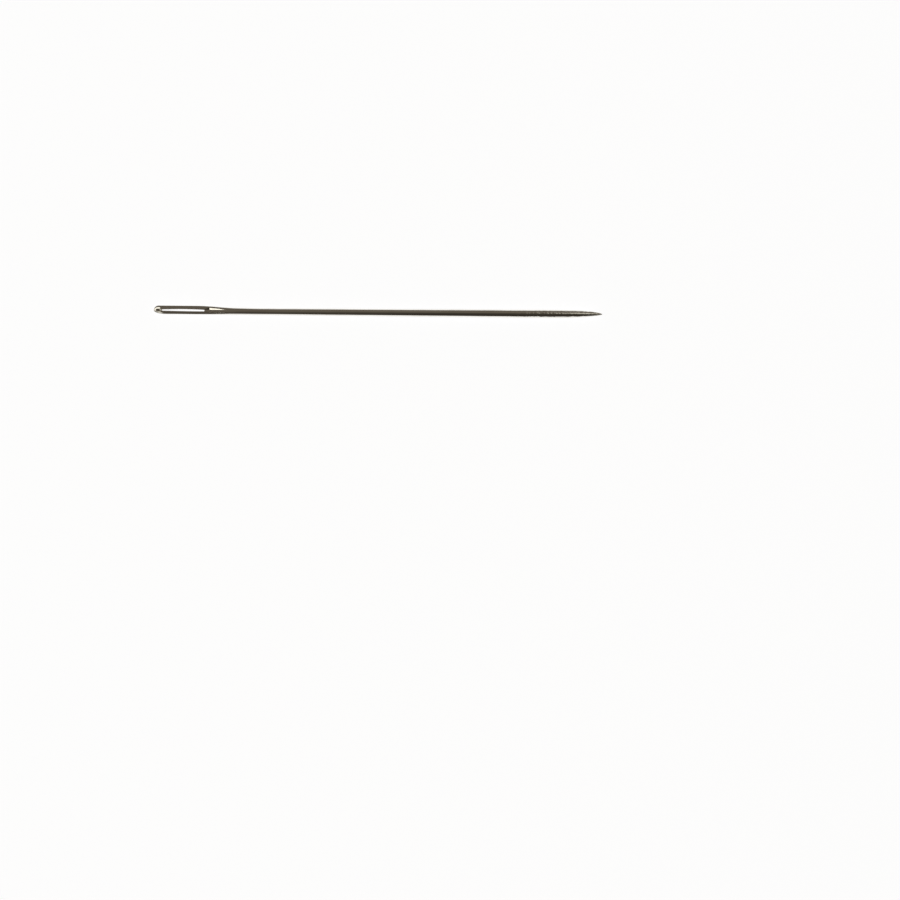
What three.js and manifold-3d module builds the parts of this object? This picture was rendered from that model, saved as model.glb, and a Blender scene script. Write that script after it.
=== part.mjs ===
// A long-eyed hand sewing needle in polished steel, in millimetres.
// The needle lies on a table along X: crown at -X, point at +X, the eye open along Z.
// The origin is under the shank's axis at the middle of its length, at the height of the table.
// A real needle is one piece of wire. It is divided here where its working changes: the stamped
// crown, eye walls and neck, the drawn shank and the ground point, which meet face to face.
// Distances run along the needle from the crown's tip. Left is +Y and right is -Y.

import * as THREE from 'three';
import { mergeVertices } from 'three/addons/utils/BufferGeometryUtils.js';
import Module from 'manifold-3d';

const NEEDLE_LENGTH = 57;

// Drawn wire: a little thicker towards the point
const SHANK_DIAMETER_AT_NECK = 0.9;
const SHANK_DIAMETER_AT_POINT = 1.075;
const SHANK_SIDES = 32;

// Ground point: a higher fullness starts the taper later, and a lower sharpness rounds the tip
const POINT_LENGTH = 9;
const POINT_FULLNESS = 3;
const POINT_SHARPNESS = 0.6;
const POINT_STEPS = 16;

// Stamped head: pressed thin, which spreads it sideways from its crest, mostly to the left.
// A squareness of 2 is a plain round, and higher ones give flatter faces and sharper edges.
const HEAD_THICKNESS = 0.5;
const HEAD_CREST = 0.05;
const HEAD_REACH_LEFT = 0.64;
const HEAD_REACH_RIGHT = 0.49;
const HEAD_SQUARENESS_LEFT = 4;
const HEAD_SQUARENESS_RIGHT = 2.2;
const PLAIN_ROUND = 2;

// Crown: rounded off in plan, over a greater length on the right, and sloping down to its tip
const CROWN_ROUND_LEFT = 0.65;
const CROWN_ROUND_RIGHT = 1.6;
const CROWN_SLOPE = 1.2;
const CROWN_STEPS = 14;

// Neck: the flat head turns into the round shank. Its left edge starts to fall back beside the eye
// and ends in a low shoulder, which keeps a share of the edge's spread.
const EDGE_FALL_START = 5.4;
const NECK_START = 6.4;
const SHOULDER_START = 9.4;
const SHOULDER = 0.3;
const STAMP_END = 10.6;
const NECK_END = 14;
const NECK_STEPS = 20;

// Pierced eye: a long oval slot with round ends, drawn nearer the shank's axis at the neck
const EYE_START = 1.08;
const EYE_END = 6.47;
const EYE_WIDTH_AT_CROWN = 0.15;
const EYE_WIDTH_MIDDLE = 0.25;
const EYE_WIDTH_AT_NECK = 0.19;
const EYE_SIDE_AT_CROWN = 0.085;
const EYE_SIDE_MIDDLE = 0.09;
const EYE_SIDE_AT_NECK = 0.055;
const EYE_CURVE_STEPS = 10;

// Gutters, which lead the thread in and out of the eye: on each face a dimple in the crown and
// a long scoop in the neck with a sharp keel. Heights are above the middle of the wire.
const DIMPLE_PLACE = 0.92;
const DIMPLE_SIDE = 0.09;
const DIMPLE_HEIGHT = 0.27;
const DIMPLE_HALF_LENGTH = 0.7;
const DIMPLE_HALF_WIDTH = 0.14;
const DIMPLE_DEPTH = 0.16;
const DIMPLE_SIDES = 24;
const DIMPLE_RINGS = 12;
const SCOOP_START = 5.4;
const SCOOP_DEEPEST = 7.1;
const SCOOP_TURN = 8.2;
const SCOOP_END = 8.93;
const SCOOP_SIDE = 0.165;
const SCOOP_HEIGHT = 0.375;
const SCOOP_DEPTH = 0.238;
const SCOOP_DEPTH_AT_TURN = 0.13;
const SCOOP_SPREAD = 2.2;
const SCOOP_SIDES = 4;

// Steel, and how rough each working leaves it
const STEEL_COLOUR = 0xc7bdab;
const POLISHED = 0.16;
const STAMPED = 0.2;
const DRAWN = 0.22;
const GROUND = 0.28;

// Worked out from the sizes above
const NECK_RADIUS = SHANK_DIAMETER_AT_NECK / 2;
const POINT_RADIUS = SHANK_DIAMETER_AT_POINT / 2;
const POINT_START = NEEDLE_LENGTH - POINT_LENGTH;
const CROWN_CUT = EYE_START + EYE_WIDTH_AT_CROWN / 2;
const NECK_CUT = EYE_END - EYE_WIDTH_AT_NECK / 2;
const EYE_SIDE = (EYE_SIDE_AT_CROWN + EYE_SIDE_AT_NECK) / 2;
const FACET_HALF_ANGLE = Math.PI / SHANK_SIDES;
const CLEAR = 2;
const WELD = 1e-5;

const { clamp, lerp, smoothstep } = THREE.MathUtils;
const wasm = await Module();
wasm.setup();

// A closed geometry as a solid that can be joined and cut
function solid(geometry) {
  const bare = geometry.clone();
  bare.deleteAttribute('normal');
  bare.deleteAttribute('uv');
  const merged = mergeVertices(bare, WELD);
  const corners = merged.index.array;
  const triangles = [];
  for (let i = 0; i < corners.length; i += 3) {
    const [a, b, c] = corners.slice(i, i + 3);
    if (a !== b && b !== c && c !== a) triangles.push(a, b, c);
  }
  return new wasm.Manifold(new wasm.Mesh({
    numProp: 3,
    vertProperties: new Float32Array(merged.attributes.position.array),
    triVerts: new Uint32Array(triangles),
  }));
}

function geometryOf(body) {
  const { vertProperties, triVerts } = body.getMesh();
  const geometry = new THREE.BufferGeometry();
  geometry.setAttribute('position', new THREE.BufferAttribute(vertProperties, 3));
  geometry.setIndex(new THREE.BufferAttribute(triVerts, 1));
  geometry.computeVertexNormals();
  return geometry;
}

// A turned solid along X, from points of radius and distance
function turned(points, sides) {
  const profile = points.map(([radius, distance]) => new THREE.Vector2(radius, distance));
  const geometry = new THREE.LatheGeometry(profile, sides, Math.PI / sides);
  return geometry.rotateZ(-Math.PI / 2);
}

// Height of the wire's axis above the table, which the shank's lowest facet touches all along
function axisHeight(distance) {
  const along = clamp((distance - NECK_END) / (POINT_START - NECK_END), 0, 1);
  return lerp(NECK_RADIUS, POINT_RADIUS, along) * Math.cos(FACET_HALF_ANGLE);
}

// Share of a rounded end's full size at a distance from its tip
function roundedEnd(distance, length) {
  const back = clamp(1 - distance / length, 0, 1);
  return Math.sqrt(1 - back * back);
}

// The round wire with its ground point, ringed where the head is to be stamped
function wireBlank() {
  const points = [[0, 0]];
  for (let step = 1; step <= CROWN_STEPS; step++) {
    const back = Math.cos((Math.PI / 2) * (step / CROWN_STEPS));
    points.push([NECK_RADIUS, CROWN_ROUND_RIGHT * (1 - back)]);
  }
  for (let step = 0; step <= NECK_STEPS; step++) {
    points.push([NECK_RADIUS, lerp(EDGE_FALL_START, NECK_END, step / NECK_STEPS)]);
  }
  for (let step = 0; step <= POINT_STEPS; step++) {
    const toTip = Math.sin((Math.PI / 2) * (step / POINT_STEPS));
    const radius = POINT_RADIUS * (1 - toTip ** POINT_FULLNESS) ** POINT_SHARPNESS;
    points.push([radius, lerp(POINT_START, NEEDLE_LENGTH, toTip)]);
  }
  return turned(points, SHANK_SIDES);
}

// Share of its full reach that the head's left edge still has
function leftSpread(distance) {
  const edge = 1 - smoothstep(distance, EDGE_FALL_START, SHOULDER_START);
  const shoulder = 1 - smoothstep(distance, SHOULDER_START, NECK_END);
  return lerp(edge, shoulder, SHOULDER);
}

// Where a point at an angle round the wire lands when the head is stamped
function stamped(distance, angle) {
  const pressed = 1 - smoothstep(distance, NECK_START, STAMP_END);
  const left = Math.cos(angle) > 0;
  const reach = left
    ? lerp(NECK_RADIUS, HEAD_REACH_LEFT, leftSpread(distance))
    : lerp(NECK_RADIUS, HEAD_REACH_RIGHT, pressed);
  const squareness = lerp(PLAIN_ROUND, left ? HEAD_SQUARENESS_LEFT : HEAD_SQUARENESS_RIGHT, pressed);
  const width = roundedEnd(distance, left ? CROWN_ROUND_LEFT : CROWN_ROUND_RIGHT);
  const slope = roundedEnd(distance, CROWN_SLOPE);
  const thickness = lerp(NECK_RADIUS, HEAD_THICKNESS / 2, pressed) * slope;
  const squared = (value) => Math.sign(value) * Math.abs(value) ** (2 / squareness);
  return {
    side: HEAD_CREST * pressed + reach * width * squared(Math.cos(angle)),
    height: thickness * squared(Math.sin(angle)),
  };
}

// Press the head flat and wide, and set the wire on the table
function stampHead(blank) {
  const position = blank.attributes.position;
  for (let i = 0; i < position.count; i++) {
    const distance = position.getX(i);
    let side = position.getY(i);
    let height = position.getZ(i);
    if (distance < NECK_END) ({ side, height } = stamped(distance, Math.atan2(height, side)));
    position.setXYZ(i, distance, side, height + axisHeight(distance));
  }
  return blank;
}

// The control value that takes a curve between two ends through a middle value
function control(start, middle, end) {
  return 2 * middle - (start + end) / 2;
}

function eyePunch() {
  const crownRadius = EYE_WIDTH_AT_CROWN / 2;
  const neckRadius = EYE_WIDTH_AT_NECK / 2;
  const middle = (CROWN_CUT + NECK_CUT) / 2;
  const side = control(EYE_SIDE_AT_CROWN, EYE_SIDE_MIDDLE, EYE_SIDE_AT_NECK);
  const bulge = control(crownRadius, EYE_WIDTH_MIDDLE / 2, neckRadius);
  const outline = new THREE.Shape();
  outline.absarc(NECK_CUT, EYE_SIDE_AT_NECK, neckRadius, -Math.PI / 2, Math.PI / 2, false);
  outline.quadraticCurveTo(middle, side + bulge, CROWN_CUT, EYE_SIDE_AT_CROWN + crownRadius);
  outline.absarc(CROWN_CUT, EYE_SIDE_AT_CROWN, crownRadius, Math.PI / 2, 1.5 * Math.PI, false);
  outline.quadraticCurveTo(middle, side - bulge, NECK_CUT, EYE_SIDE_AT_NECK - neckRadius);
  const punch = new THREE.ExtrudeGeometry(outline, {
    depth: 2 * CLEAR,
    bevelEnabled: false,
    curveSegments: EYE_CURVE_STEPS,
  });
  return punch.translate(0, 0, -CLEAR);
}

// The dimple in one face of the crown: face is 1 above and -1 below
function dimple(face) {
  const hollow = new THREE.SphereGeometry(1, DIMPLE_SIDES, DIMPLE_RINGS);
  hollow.scale(DIMPLE_HALF_LENGTH, DIMPLE_HALF_WIDTH, DIMPLE_DEPTH);
  return hollow.translate(DIMPLE_PLACE, DIMPLE_SIDE, axisHeight(0) + face * DIMPLE_HEIGHT);
}

// The scoop in one face of the neck, which deepens from the eye and runs out in a point.
// It is a four-sided spindle on edge, spread sideways, so that its keel is at the bottom.
function scoop(face) {
  const hollow = turned([
    [0, SCOOP_START],
    [SCOOP_DEPTH, SCOOP_DEEPEST],
    [SCOOP_DEPTH_AT_TURN, SCOOP_TURN],
    [0, SCOOP_END],
  ], SCOOP_SIDES);
  hollow.rotateX(Math.PI / SCOOP_SIDES);
  hollow.scale(1, SCOOP_SPREAD, 1);
  return hollow.translate(0, SCOOP_SIDE, axisHeight(0) + face * SCOOP_HEIGHT);
}

// The block that keeps one zone of the needle: a range of distances, and the sides that it takes in
function zoneBlock(from, to, low = -CLEAR, high = CLEAR) {
  const block = new THREE.BoxGeometry(to - from, high - low, 2 * CLEAR);
  return block.translate((from + to) / 2, (low + high) / 2, 0);
}

let needle = solid(stampHead(wireBlank()));
for (const cutter of [eyePunch(), dimple(1), dimple(-1), scoop(1), scoop(-1)]) {
  needle = needle.subtract(solid(cutter));
}

function zone(name, block, roughness) {
  const geometry = geometryOf(needle.intersect(solid(block)));
  const steel = new THREE.MeshStandardMaterial({ color: STEEL_COLOUR, metalness: 1, roughness });
  const mesh = new THREE.Mesh(geometry, steel);
  mesh.name = name;
  mesh.position.x = -NEEDLE_LENGTH / 2;
  return mesh;
}

const part = new THREE.Group();
part.add(
  zone('crown', zoneBlock(-CLEAR, CROWN_CUT), POLISHED),
  zone('eye_wall_left', zoneBlock(CROWN_CUT, NECK_CUT, EYE_SIDE, CLEAR), STAMPED),
  zone('eye_wall_right', zoneBlock(CROWN_CUT, NECK_CUT, -CLEAR, EYE_SIDE), STAMPED),
  zone('neck', zoneBlock(NECK_CUT, NECK_END), STAMPED),
  zone('shank', zoneBlock(NECK_END, POINT_START), DRAWN),
  zone('point', zoneBlock(POINT_START, NEEDLE_LENGTH + CLEAR), GROUND),
);

export default part;
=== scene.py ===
# A polished steel sewing needle lying on white paper, seen from straight above.
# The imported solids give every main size. One smooth closed skin stands for all of them.
import math

import bmesh
import bpy
import numpy as np
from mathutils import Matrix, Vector


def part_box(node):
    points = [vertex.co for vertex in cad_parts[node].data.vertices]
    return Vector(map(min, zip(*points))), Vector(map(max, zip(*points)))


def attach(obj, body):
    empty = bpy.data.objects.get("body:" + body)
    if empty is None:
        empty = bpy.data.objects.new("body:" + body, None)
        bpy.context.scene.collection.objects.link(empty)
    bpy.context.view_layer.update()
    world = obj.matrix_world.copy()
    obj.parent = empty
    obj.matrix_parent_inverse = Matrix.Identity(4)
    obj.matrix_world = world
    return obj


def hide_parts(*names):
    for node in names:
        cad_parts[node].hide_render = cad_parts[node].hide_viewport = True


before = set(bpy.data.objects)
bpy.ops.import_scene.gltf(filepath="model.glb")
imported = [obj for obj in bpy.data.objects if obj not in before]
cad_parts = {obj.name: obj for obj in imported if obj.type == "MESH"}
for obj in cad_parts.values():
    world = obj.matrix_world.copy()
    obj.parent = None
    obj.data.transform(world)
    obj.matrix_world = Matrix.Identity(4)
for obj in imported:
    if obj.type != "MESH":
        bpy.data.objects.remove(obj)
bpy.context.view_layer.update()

MM = 0.001
ZONES = ("crown", "eye_wall_left", "eye_wall_right", "neck", "shank", "point")


def box_mm(node):
    low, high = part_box(node)
    return low / MM, high / MM


# The crest of the head's face lies a little to the left of the middle, in millimetres.
HEAD_CREST = 0.05

# Sizes from the solids, in millimetres. Distances run along the needle from the crown's tip.
left_low, left_high = box_mm("eye_wall_left")
neck_low, neck_high = box_mm("neck")
shank_low, shank_high = box_mm("shank")
point_low, point_high = box_mm("point")
TIP_X = box_mm("crown")[0].x
LENGTH = point_high.x - TIP_X
HEAD_REACH_LEFT = left_high.y - HEAD_CREST
HEAD_REACH_RIGHT = HEAD_CREST - box_mm("eye_wall_right")[0].y
HEAD_HALF_THICKNESS = (left_high.z - left_low.z) / 2
EYE_STRAIGHT_START = left_low.x - TIP_X
EYE_STRAIGHT_END = left_high.x - TIP_X
NECK_END = neck_high.x - TIP_X
POINT_START = point_low.x - TIP_X
NECK_RADIUS = (neck_high.z - neck_low.z) / 2
POINT_RADIUS = (shank_high.z - shank_low.z) / 2

# Finer shape, in millimetres: left is +Y and right is -Y. A squareness of 2 is a plain round.
HEAD_SQUARENESS_LEFT = 4
HEAD_SQUARENESS_RIGHT = 2.2
CROWN_ROUND_LEFT = 0.65
CROWN_ROUND_RIGHT = 1.6
CROWN_SLOPE = 1.2
PLAIN_ROUND = 2
EDGE_FALL_START = 5.4
NECK_START = 6.4
SHOULDER_START = 9.4
SHOULDER = 0.3
STAMP_END = 10.6
POINT_FULLNESS = 3
POINT_FULLNESS_LEFT = 5
POINT_SHARPNESS = 0.6

# The eye, with its values at the crown, in the middle and at the neck
EYE_WIDTHS = (0.15, 0.25, 0.19)
EYE_SIDES = (0.085, 0.09, 0.055)
EYE_RIM_RADIUS = 0.02

# The hollows in each face: a dimple in the crown and a scoop in the neck
DIMPLE_PLACE = 0.64
DIMPLE_SIDE = 0.08
DIMPLE_HEIGHT = 0.27
DIMPLE_HALF_LENGTH = 0.38
DIMPLE_HALF_WIDTH = 0.16
DIMPLE_DEPTH = 0.18
DIMPLE_END_SQUARENESS = 4
SCOOP_START = 5.4
SCOOP_DEEPEST = 7.1
SCOOP_TURN = 8.2
SCOOP_END = 9.08
SCOOP_DEPTH = 0.238
SCOOP_DEPTH_AT_TURN = 0.13
SCOOP_SIDE = 0.165
SCOOP_HEIGHT = 0.375
SCOOP_SPREAD = 2.2
HOLLOW_EDGE_SOFTNESS = 0.01

# Mesh: the head's patch ends short of the scoop's deepest place, where rings round the wire take over.
# Its columns crowd towards the scoop's keel, its rows towards the outline, and the rings towards the
# corner at the deepest place. The two least values only keep divisions away from zero.
HEAD_PATCH_END = 6.75
SCOOP_CORNER = 0.02
KEEL_CROWDING = 1.4
OUTLINE_CROWDING = 4
NECK_LINE_STEPS = 64
SIDE_STEPS = 90
CROWN_ARC_STEPS = 48
RIM_STEPS = 4
CHEEK_STEPS = 24
WALL_STEPS = 6
PATCH_TO_SCOOP_STEPS = 8
SCOOP_CORNER_STEPS = 2
SCOOP_STEPS = 24
NECK_STEPS = 40
SHANK_STEPS = 44
POINT_STEPS = 48
LEAST_WIDTH = 1e-9
LEAST_SOFTNESS = 1e-6
WELD_DISTANCE_M = 1e-7

# The photograph's frame
IMAGE_PIXELS = 900
PIXELS_PER_MM = 7.852
NEEDLE_MIDDLE_PIXEL = (378.2, 312.9)
NEEDLE_TURN_DEG = 0.475
CAMERA_HEIGHT_MM = 200
SENSOR_MM = 36
CLIP_START_M = 0.01
CLIP_END_M = 20

# Steel: patches of noise to the millimetre along, across and up, and how deep the marks are in metres.
# Tarnish comes in between two levels of its noise.
BRIGHT_STEEL = (0.9, 0.88, 0.84, 1)
TARNISHED_STEEL = (0.8, 0.775, 0.73, 1)
BRIGHT_ROUGHNESS = 0.06
TARNISHED_ROUGHNESS = 0.12
TARNISH_LEVELS = (0.35, 0.65)
TARNISH_PER_MM = (0.35, 1.6, 1.6)
TARNISH_DETAIL = 4
GRAIN_PER_MM = (0.5, 16, 16)
GRAIN_DEPTH_M = 3e-7
GRINDING_PER_MM = (3, 4, 4)
GRINDING_DEPTH_M = 2.5e-5
GRINDING_START = 43
GRINDING_FULL = 49
MARK_DETAIL = 2

# Paper: its even glow, and the colour that takes the shadow
PAPER_HALF_SIZE_M = 3.0
PAPER_GLOW = 0.91
PAPER_COLOUR = (0.35, 0.36, 0.4, 1)
WHITE = (1, 1, 1, 1)

# Ceiling panels: name, angles from straight up towards X and towards Y in degrees, and brightness
PANEL_HEIGHT_M = 1.0
PANEL_TINT = (1, 0.99, 0.89)
PANELS = (
    ("crown_panel", (-62, -20), (0, 17), 1.06),
    ("crown_side_panel", (-62, -24), (-32, -14), 0.62),
    ("scoop_panel", (-40, -23), (-51, -39), 1.65),
    ("point_panel", (8, 45), (10, 32), 0.48),
)

# Room, by direction from the needle: each of X, Y and Z runs from -1 to 1, and Z is 0 at the horizon.
WALL_TOP_Z = 0.08
WALL_LEAN = 0.2
WALL_STRENGTH = 0.5
WALL_TINT = (1, 0.98, 0.95, 1)
SKIRTING_Z = (0.02, 0.05)
CEILING_Y = (-0.25, 0.45)
CEILING_STRENGTHS = (0.039, 0.134)
CEILING_TINT = (1, 0.864, 0.677, 1)
HEAD_CEILING_X = (-0.16, -0.02)
HEAD_CEILING_Y = (-0.6, 0)
HEAD_CEILING_STRENGTHS = (0.07, 0.118)

# Sockets of a mix node for colours, which share their names with its sockets for numbers
MIX_FACTOR = 0
MIX_COLOUR_A = 6
MIX_COLOUR_B = 7
MIX_COLOUR_RESULT = 2


def smooth_step(value, low, high):
    share = np.clip((value - low) / (high - low), 0, 1)
    return share * share * (3 - 2 * share)


def mix(a, b, share):
    return a + (b - a) * share


def soft_min(a, b, softness):
    """The lower of two heights, with the corner between them rounded over softness."""
    reach = np.maximum(softness - np.abs(a - b), 0)
    return np.minimum(a, b) - reach * reach / (4 * softness)


def pressed(distance):
    """1 where the head is stamped flat, falling to 0 where the shank is round."""
    return 1 - smooth_step(distance, NECK_START, STAMP_END)


def left_spread(distance):
    """Share of its full reach that the head's left edge still has, with a low shoulder along the neck."""
    edge = 1 - smooth_step(distance, EDGE_FALL_START, SHOULDER_START)
    shoulder = 1 - smooth_step(distance, SHOULDER_START, NECK_END)
    return mix(edge, shoulder, SHOULDER)


def axis_height(distance):
    """The shank lies on the paper all along, so its axis rises with its radius."""
    along = np.clip((distance - NECK_END) / (POINT_START - NECK_END), 0, 1)
    return mix(NECK_RADIUS, POINT_RADIUS, along)


def shank_radius(distance, fullness=POINT_FULLNESS):
    to_tip = np.clip((distance - POINT_START) / (LENGTH - POINT_START), 0, 1)
    return axis_height(distance) * (1 - to_tip ** fullness) ** POINT_SHARPNESS


def rounded_end(distance, length):
    """Share of a rounded end's full size at a distance from its tip."""
    back = np.clip(1 - distance / length, 0, 1)
    return np.sqrt(1 - back * back)


def crest(distance):
    return HEAD_CREST * pressed(distance)


def reach(distance, left):
    """Distance from the crest to the left or right edge. The point is ground fuller on its left."""
    left_wire = shank_radius(distance, POINT_FULLNESS_LEFT)
    left_reach = mix(left_wire, HEAD_REACH_LEFT, left_spread(distance))
    right_reach = mix(shank_radius(distance), HEAD_REACH_RIGHT, pressed(distance))
    return np.where(left, left_reach, right_reach)


def dimple_height(distance, side):
    """Height of the dimple's floor, which is level along and round across, and where the dimple is."""
    along = (distance - DIMPLE_PLACE) / DIMPLE_HALF_LENGTH
    across = (side - DIMPLE_SIDE) / DIMPLE_HALF_WIDTH
    share = np.maximum(1 - along ** DIMPLE_END_SQUARENESS - across ** PLAIN_ROUND, 0)
    return DIMPLE_HEIGHT - DIMPLE_DEPTH * np.sqrt(share), share > 0


def scoop_height(distance, side):
    """Height of the scoop's sloping walls over its keel, and how deep its keel is."""
    places = (SCOOP_START, SCOOP_DEEPEST, SCOOP_TURN, SCOOP_END)
    depth = np.interp(distance, places, (0, SCOOP_DEPTH, SCOOP_DEPTH_AT_TURN, 0))
    return SCOOP_HEIGHT - depth + np.abs(side - SCOOP_SIDE) / SCOOP_SPREAD, depth


def plain_face_height(distance, side):
    """Height of the upper face above the needle's middle plane, before the hollows are pressed in."""
    flatness = pressed(distance)
    left = side >= crest(distance)
    squareness = mix(PLAIN_ROUND, np.where(left, HEAD_SQUARENESS_LEFT, HEAD_SQUARENESS_RIGHT), flatness)
    crown_round = np.where(left, CROWN_ROUND_LEFT, CROWN_ROUND_RIGHT)
    width = np.maximum(reach(distance, left) * rounded_end(distance, crown_round), LEAST_WIDTH)
    across = np.clip(np.abs(side - crest(distance)) / width, 0, 1)
    thickness = mix(shank_radius(distance), HEAD_HALF_THICKNESS, flatness)
    thickness = thickness * rounded_end(distance, CROWN_SLOPE)
    return thickness * (1 - across ** squareness) ** (1 / squareness)


def face_height(distance, side):
    """Height of the upper face above the needle's middle plane."""
    height = plain_face_height(distance, side)
    dimple, in_dimple = dimple_height(distance, side)
    height = np.where(in_dimple, soft_min(height, dimple, HOLLOW_EDGE_SOFTNESS), height)
    scoop, depth = scoop_height(distance, side)
    softness = np.maximum(HOLLOW_EDGE_SOFTNESS * depth / SCOOP_DEPTH, LEAST_SOFTNESS)
    in_scoop = np.abs(side - SCOOP_SIDE) < depth * SCOOP_SPREAD
    return np.where(in_scoop, soft_min(height, scoop, softness), height)


def placed(distance, side, height):
    """Points in the row frame, in metres, from places along, across and above the middle plane."""
    x = TIP_X + distance
    z = axis_height(distance) + height
    return np.stack(np.broadcast_arrays(x, side, z), axis=-1) * MM


def loop_angles(steps, first, last):
    return np.radians(np.linspace(first, last, steps, endpoint=False))


def oval(distance, values):
    """A value along the eye, on a smooth curve through its values at the crown, middle and neck."""
    at_crown, in_middle, at_neck = values
    share = (distance - EYE_STRAIGHT_START) / (EYE_STRAIGHT_END - EYE_STRAIGHT_START)
    control = 2 * in_middle - (at_crown + at_neck) / 2
    return mix(mix(at_crown, control, share), mix(control, at_neck, share), share)


def eye_loop():
    """Middle line point and outward direction for each ray round the eye, from the neck's right side."""
    neck_turn = loop_angles(NECK_LINE_STEPS, -90, 90)
    crown_turn = loop_angles(CROWN_ARC_STEPS, 90, 270)
    straight = np.linspace(EYE_STRAIGHT_END, EYE_STRAIGHT_START, SIDE_STEPS, endpoint=False)
    back = EYE_STRAIGHT_END + EYE_STRAIGHT_START - straight
    ahead = np.zeros(SIDE_STEPS)
    middle = np.concatenate([
        np.full(NECK_LINE_STEPS, EYE_STRAIGHT_END), straight,
        np.full(CROWN_ARC_STEPS, EYE_STRAIGHT_START), back,
    ])
    along = np.concatenate([np.cos(neck_turn), ahead, np.cos(crown_turn), ahead])
    across = np.concatenate([np.sin(neck_turn), ahead + 1, np.sin(crown_turn), ahead - 1])
    return middle, along, across


def column_side(distance, turn):
    """Side of each mesh column: on the right edge at -90 degrees, the keel at 0 and the left edge at 90."""
    out = np.abs(np.sin(turn)) ** KEEL_CROWDING
    keel = SCOOP_SIDE * (1 - smooth_step(distance, SCOOP_END, NECK_END))
    left_edge = crest(distance) + reach(distance, True)
    right_edge = crest(distance) - reach(distance, False)
    return mix(keel, np.where(np.sin(turn) >= 0, left_edge, right_edge), out)


def outline_loop():
    """Where each ray ends, on the head's outline or on the line across the neck where the rings begin,
    and how much its rows crowd towards that end."""
    neck_turn = loop_angles(NECK_LINE_STEPS, -90, 90)
    crown_turn = loop_angles(CROWN_ARC_STEPS, 90, 270)
    neck_line = np.full(NECK_LINE_STEPS, HEAD_PATCH_END)
    left_edge = np.linspace(HEAD_PATCH_END, CROWN_ROUND_LEFT, SIDE_STEPS, endpoint=False)
    right_edge = np.linspace(CROWN_ROUND_RIGHT, HEAD_PATCH_END, SIDE_STEPS, endpoint=False)
    crown_round = np.where(np.sin(crown_turn) > 0, CROWN_ROUND_LEFT, CROWN_ROUND_RIGHT)
    crown = crown_round * (1 - np.abs(np.cos(crown_turn)))
    edge = np.concatenate([left_edge, crown, right_edge])
    out = np.concatenate([np.ones(SIDE_STEPS), np.sin(crown_turn), -np.ones(SIDE_STEPS)])
    edge_side = crest(edge) + reach(edge, out >= 0) * out
    distance = np.concatenate([neck_line, edge])
    side = np.concatenate([column_side(HEAD_PATCH_END, neck_turn), edge_side])
    crowding = np.concatenate([np.sin(neck_turn) ** OUTLINE_CROWDING, np.ones(edge.size)])
    return distance, side, crowding


def head_face(up):
    """The stamped face round the eye, from the rounded rim out to the outline: up is 1 or -1."""
    middle, along, across = eye_loop()
    out_distance, out_side, crowding = outline_loop()
    eye_side = oval(middle, EYE_SIDES)
    eye_width = oval(middle, EYE_WIDTHS)
    rows = []
    for step in range(RIM_STEPS + 1):
        turn = math.pi / 2 * step / RIM_STEPS
        away = eye_width / 2 + EYE_RIM_RADIUS * (1 - math.cos(turn))
        distance = middle + along * away
        side = eye_side + across * away
        sunk = EYE_RIM_RADIUS * (1 - math.sin(turn))
        rows.append(placed(distance, side, up * (face_height(distance, side) - sunk)))
    rim_distance, rim_side = distance, side
    for step in range(1, CHEEK_STEPS + 1):
        share = step / CHEEK_STEPS
        share = mix(share, math.sin(math.pi / 2 * share), crowding)
        distance = mix(rim_distance, out_distance, share)
        side = mix(rim_side, out_side, share)
        rows.append(placed(distance, side, up * face_height(distance, side)))
    return np.array(rows)


def eye_wall(upper_rim, lower_rim):
    shares = np.linspace(0, 1, WALL_STEPS + 1)
    return np.array([mix(upper_rim, lower_rim, share) for share in shares])


def wire_rings():
    """Rings round the neck, shank and point, from the line across the neck to the tip."""
    stations = (
        (HEAD_PATCH_END, PATCH_TO_SCOOP_STEPS),
        (SCOOP_DEEPEST - SCOOP_CORNER, SCOOP_CORNER_STEPS),
        (SCOOP_DEEPEST + SCOOP_CORNER, SCOOP_STEPS),
        (SCOOP_END, NECK_STEPS),
        (NECK_END, SHANK_STEPS),
    )
    ends = [start for start, steps in stations[1:]] + [POINT_START]
    distances = [np.linspace(start, end, steps, endpoint=False)
                 for (start, steps), end in zip(stations, ends)]
    distances.append(mix(POINT_START, LENGTH, np.sin(np.linspace(0, math.pi / 2, POINT_STEPS + 1))))
    turn = loop_angles(2 * NECK_LINE_STEPS, -90, 270)
    up = np.where(np.arange(2 * NECK_LINE_STEPS) < NECK_LINE_STEPS, 1, -1)
    rings = []
    for distance in np.concatenate(distances):
        side = column_side(distance, turn)
        rings.append(placed(np.full_like(side, distance), side, up * face_height(distance, side)))
    return np.array(rings)


def sheet_faces(first, rows, columns):
    """Quads of a sheet whose rows close on themselves."""
    faces = []
    for row in range(rows - 1):
        for column in range(columns):
            beside = (column + 1) % columns
            low = first + row * columns
            high = low + columns
            faces.append((low + column, low + beside, high + beside, high + column))
    return faces


def make_needle():
    upper = head_face(1)
    lower = head_face(-1)
    sheets = [upper, lower, eye_wall(upper[0], lower[0]), wire_rings()]
    points = []
    faces = []
    for sheet in sheets:
        faces += sheet_faces(len(points), sheet.shape[0], sheet.shape[1])
        points += sheet.reshape(-1, 3).tolist()
    mesh = bpy.data.meshes.new("needle")
    mesh.from_pydata(points, [], faces)
    work = bmesh.new()
    work.from_mesh(mesh)
    bmesh.ops.remove_doubles(work, verts=work.verts, dist=WELD_DISTANCE_M)
    bmesh.ops.recalc_face_normals(work, faces=work.faces)
    for face in work.faces:
        face.smooth = True
    work.to_mesh(mesh)
    work.free()
    needle = bpy.data.objects.new("needle", mesh)
    bpy.context.scene.collection.objects.link(needle)
    return needle


def add_node(tree, kind, settings=None, values=None):
    node = tree.nodes.new(kind)
    for name, value in (settings or {}).items():
        setattr(node, name, value)
    for name, value in (values or {}).items():
        node.inputs[name].default_value = value
    return node


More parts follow.
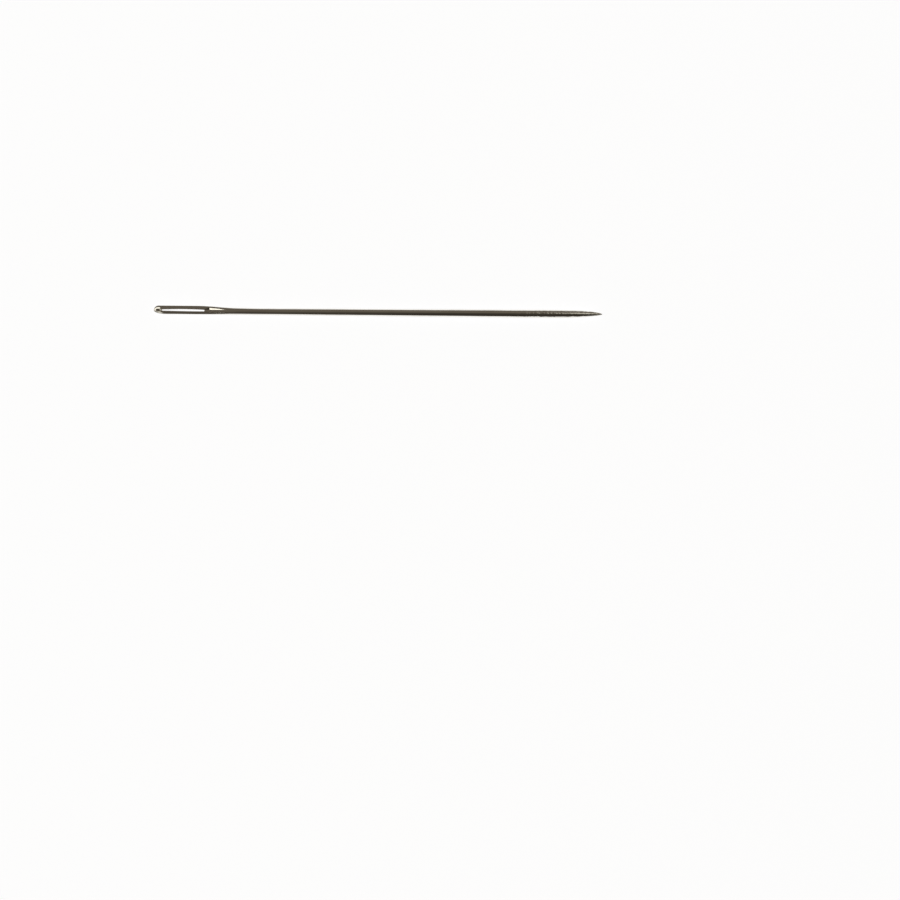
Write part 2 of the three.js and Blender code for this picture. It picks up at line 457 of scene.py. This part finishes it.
def feed(tree, socket, value):
    """Link a socket to another node's output, or set it to a fixed value."""
    if isinstance(value, bpy.types.NodeSocket):
        tree.links.new(value, socket)
    else:
        socket.default_value = value


def maths(tree, operation, *values):
    node = add_node(tree, "ShaderNodeMath", {"operation": operation})
    for socket, value in zip(node.inputs, values):
        feed(tree, socket, value)
    return node.outputs[0]


def ranged(tree, value, source, target, interpolation="LINEAR"):
    """A value carried over from one range to another, and held at the ends."""
    node = add_node(tree, "ShaderNodeMapRange", {"interpolation_type": interpolation}, {
        "From Min": source[0], "From Max": source[1], "To Min": target[0], "To Max": target[1]})
    feed(tree, node.inputs["Value"], value)
    return node.outputs["Result"]


def blend(tree, share, first, second):
    node = add_node(tree, "ShaderNodeMix", {"data_type": "FLOAT"})
    feed(tree, node.inputs["Factor"], share)
    feed(tree, node.inputs["A"], first)
    feed(tree, node.inputs["B"], second)
    return node.outputs["Result"]


def blend_colours(tree, share, first, second):
    node = add_node(tree, "ShaderNodeMix", {"data_type": "RGBA"})
    feed(tree, node.inputs[MIX_FACTOR], share)
    feed(tree, node.inputs[MIX_COLOUR_A], first)
    feed(tree, node.inputs[MIX_COLOUR_B], second)
    return node.outputs[MIX_COLOUR_RESULT]


def surface_noise(tree, place, per_mm, detail):
    """Noise over the steel, with its own count of patches to the millimetre each way."""
    scaled = add_node(tree, "ShaderNodeVectorMath", {"operation": "MULTIPLY"})
    feed(tree, scaled.inputs[0], place)
    feed(tree, scaled.inputs[1], [count / MM for count in per_mm])
    noise = add_node(tree, "ShaderNodeTexNoise", values={"Scale": 1, "Detail": detail})
    feed(tree, noise.inputs["Vector"], scaled.outputs[0])
    return noise.outputs[0]


def bump(tree, height, depth):
    node = add_node(tree, "ShaderNodeBump", values={"Strength": 1, "Distance": depth})
    feed(tree, node.inputs["Height"], height)
    return node


def steel_marks(tree, place):
    """Surface direction with faint drawing lines, and grinding marks towards the point."""
    along = add_node(tree, "ShaderNodeSeparateXYZ")
    feed(tree, along.inputs[0], place)
    grinding_range = ((TIP_X + GRINDING_START) * MM, (TIP_X + GRINDING_FULL) * MM)
    ground = ranged(tree, along.outputs["X"], grinding_range, (0, 1))
    marks = maths(tree, "MULTIPLY", ground, surface_noise(tree, place, GRINDING_PER_MM, MARK_DETAIL))
    grain_bump = bump(tree, surface_noise(tree, place, GRAIN_PER_MM, MARK_DETAIL), GRAIN_DEPTH_M)
    mark_bump = bump(tree, marks, GRINDING_DEPTH_M)
    feed(tree, mark_bump.inputs["Normal"], grain_bump.outputs["Normal"])
    return mark_bump.outputs["Normal"]


def steel_material():
    """Bright steel with patches of tarnish, drawing lines and grinding marks."""
    material = bpy.data.materials.new("needle_steel")
    material.use_nodes = True
    tree = material.node_tree
    shader = tree.nodes["Principled BSDF"]
    shader.inputs["Metallic"].default_value = 1
    place = add_node(tree, "ShaderNodeTexCoord").outputs["Object"]
    tarnish = surface_noise(tree, place, TARNISH_PER_MM, TARNISH_DETAIL)
    cover = ranged(tree, tarnish, TARNISH_LEVELS, (0, 1))
    roughness = ranged(tree, tarnish, TARNISH_LEVELS, (BRIGHT_ROUGHNESS, TARNISHED_ROUGHNESS))
    feed(tree, shader.inputs["Base Color"], blend_colours(tree, cover, BRIGHT_STEEL, TARNISHED_STEEL))
    feed(tree, shader.inputs["Roughness"], roughness)
    feed(tree, shader.inputs["Normal"], steel_marks(tree, place))
    return material


def paper_material():
    """Paper that glows evenly where it is seen or mirrored, and still takes the needle's shadow."""
    material = bpy.data.materials.new("white_paper")
    material.use_nodes = True
    tree = material.node_tree
    tree.nodes.clear()
    path = add_node(tree, "ShaderNodeLightPath")
    mirrored = maths(tree, "MAXIMUM", path.outputs["Is Glossy Ray"], path.outputs["Is Transmission Ray"])
    seen = maths(tree, "MAXIMUM", path.outputs["Is Camera Ray"], mirrored)
    glow = add_node(tree, "ShaderNodeEmission", values={"Color": WHITE})
    feed(tree, glow.inputs["Strength"], maths(tree, "MULTIPLY", seen, PAPER_GLOW))
    surface = add_node(tree, "ShaderNodeBsdfDiffuse", values={"Color": PAPER_COLOUR})
    both = add_node(tree, "ShaderNodeAddShader")
    output = add_node(tree, "ShaderNodeOutputMaterial")
    feed(tree, both.inputs[0], surface.outputs[0])
    feed(tree, both.inputs[1], glow.outputs[0])
    feed(tree, output.inputs["Surface"], both.outputs[0])
    return material


def make_floor():
    half = PAPER_HALF_SIZE_M
    corners = [(-half, -half, 0), (half, -half, 0), (half, half, 0), (-half, half, 0)]
    mesh = bpy.data.meshes.new("paper")
    mesh.from_pydata(corners, [], [(0, 1, 2, 3)])
    floor = bpy.data.objects.new("paper", mesh)
    floor.data.materials.append(paper_material())
    bpy.context.scene.collection.objects.link(floor)


def make_camera():
    """A camera straight above, turned and moved so that the needle lies where the photograph has it."""
    turn = math.radians(NEEDLE_TURN_DEG)
    right = Vector((math.cos(turn), math.sin(turn), 0))
    up = Vector((-math.sin(turn), math.cos(turn), 0))
    to_right = (IMAGE_PIXELS / 2 - NEEDLE_MIDDLE_PIXEL[0]) / PIXELS_PER_MM
    to_top = (NEEDLE_MIDDLE_PIXEL[1] - IMAGE_PIXELS / 2) / PIXELS_PER_MM
    lens = bpy.data.cameras.new("camera")
    lens.sensor_width = SENSOR_MM
    lens.lens = SENSOR_MM * CAMERA_HEIGHT_MM * PIXELS_PER_MM / IMAGE_PIXELS
    lens.clip_start = CLIP_START_M
    lens.clip_end = CLIP_END_M
    camera = bpy.data.objects.new("camera", lens)
    camera.location = (right * to_right + up * to_top + Vector((0, 0, CAMERA_HEIGHT_MM))) * MM
    camera.rotation_euler = (0, 0, turn)
    bpy.context.scene.collection.objects.link(camera)
    bpy.context.scene.camera = camera


def add_panel(name, x_angles, y_angles, brightness):
    """A soft lamp panel on the ceiling, between angles from straight up, as seen from the needle."""
    x_low, x_high = (PANEL_HEIGHT_M * math.tan(math.radians(angle)) for angle in x_angles)
    y_low, y_high = (PANEL_HEIGHT_M * math.tan(math.radians(angle)) for angle in y_angles)
    light = bpy.data.lights.new(name, "AREA")
    light.shape = "RECTANGLE"
    light.size = x_high - x_low
    light.size_y = y_high - y_low
    light.energy = brightness * math.pi * light.size * light.size_y
    light.color = PANEL_TINT
    lamp = bpy.data.objects.new(name, light)
    lamp.location = ((x_low + x_high) / 2, (y_low + y_high) / 2, PANEL_HEIGHT_M)
    bpy.context.scene.collection.objects.link(lamp)


def make_lamps():
    for panel in PANELS:
        add_panel(*panel)


def wall_share(tree, x, y, z):
    """Share of pale wall: it rises to both sides and sinks towards -Y, where only a thin line is left."""
    aside = maths(tree, "POWER", x, 2)
    behind = maths(tree, "POWER", maths(tree, "MINIMUM", y, 0), 2)
    sunk = maths(tree, "MULTIPLY_ADD", behind, WALL_LEAN, z)
    leaning = maths(tree, "MULTIPLY_ADD", aside, -WALL_LEAN, sunk)
    wall = ranged(tree, leaning, (0, WALL_TOP_Z), (1, 0), "SMOOTHSTEP")
    skirting = ranged(tree, z, SKIRTING_Z, (1, 0), "SMOOTHSTEP")
    return maths(tree, "MAXIMUM", wall, skirting)


def ceiling_strength(tree, x, y):
    """Brightness of the dark ceiling: it grows towards +Y, and is more even on the head's side."""
    over_shank = ranged(tree, y, CEILING_Y, CEILING_STRENGTHS)
    over_head = ranged(tree, y, HEAD_CEILING_Y, HEAD_CEILING_STRENGTHS)
    head_share = ranged(tree, x, HEAD_CEILING_X, (1, 0))
    return blend(tree, head_share, over_shank, over_head)


def make_room():
    """A dark room with pale walls, which the steel mirrors."""
    world = bpy.data.worlds.new("room")
    world.use_nodes = True
    tree = world.node_tree
    background = tree.nodes["Background"]
    direction = add_node(tree, "ShaderNodeSeparateXYZ")
    feed(tree, direction.inputs[0], add_node(tree, "ShaderNodeTexCoord").outputs["Generated"])
    x, y, z = direction.outputs
    wall = wall_share(tree, x, y, z)
    strength = blend(tree, wall, ceiling_strength(tree, x, y), WALL_STRENGTH)
    feed(tree, background.inputs["Strength"], strength)
    feed(tree, background.inputs["Color"], blend_colours(tree, wall, CEILING_TINT, WALL_TINT))
    bpy.context.scene.world = world


bpy.context.scene.view_settings.view_transform = "Standard"
needle = make_needle()
needle.data.materials.append(steel_material())
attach(needle, "root")
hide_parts(*ZONES)
make_floor()
make_lamps()
make_room()
make_camera()
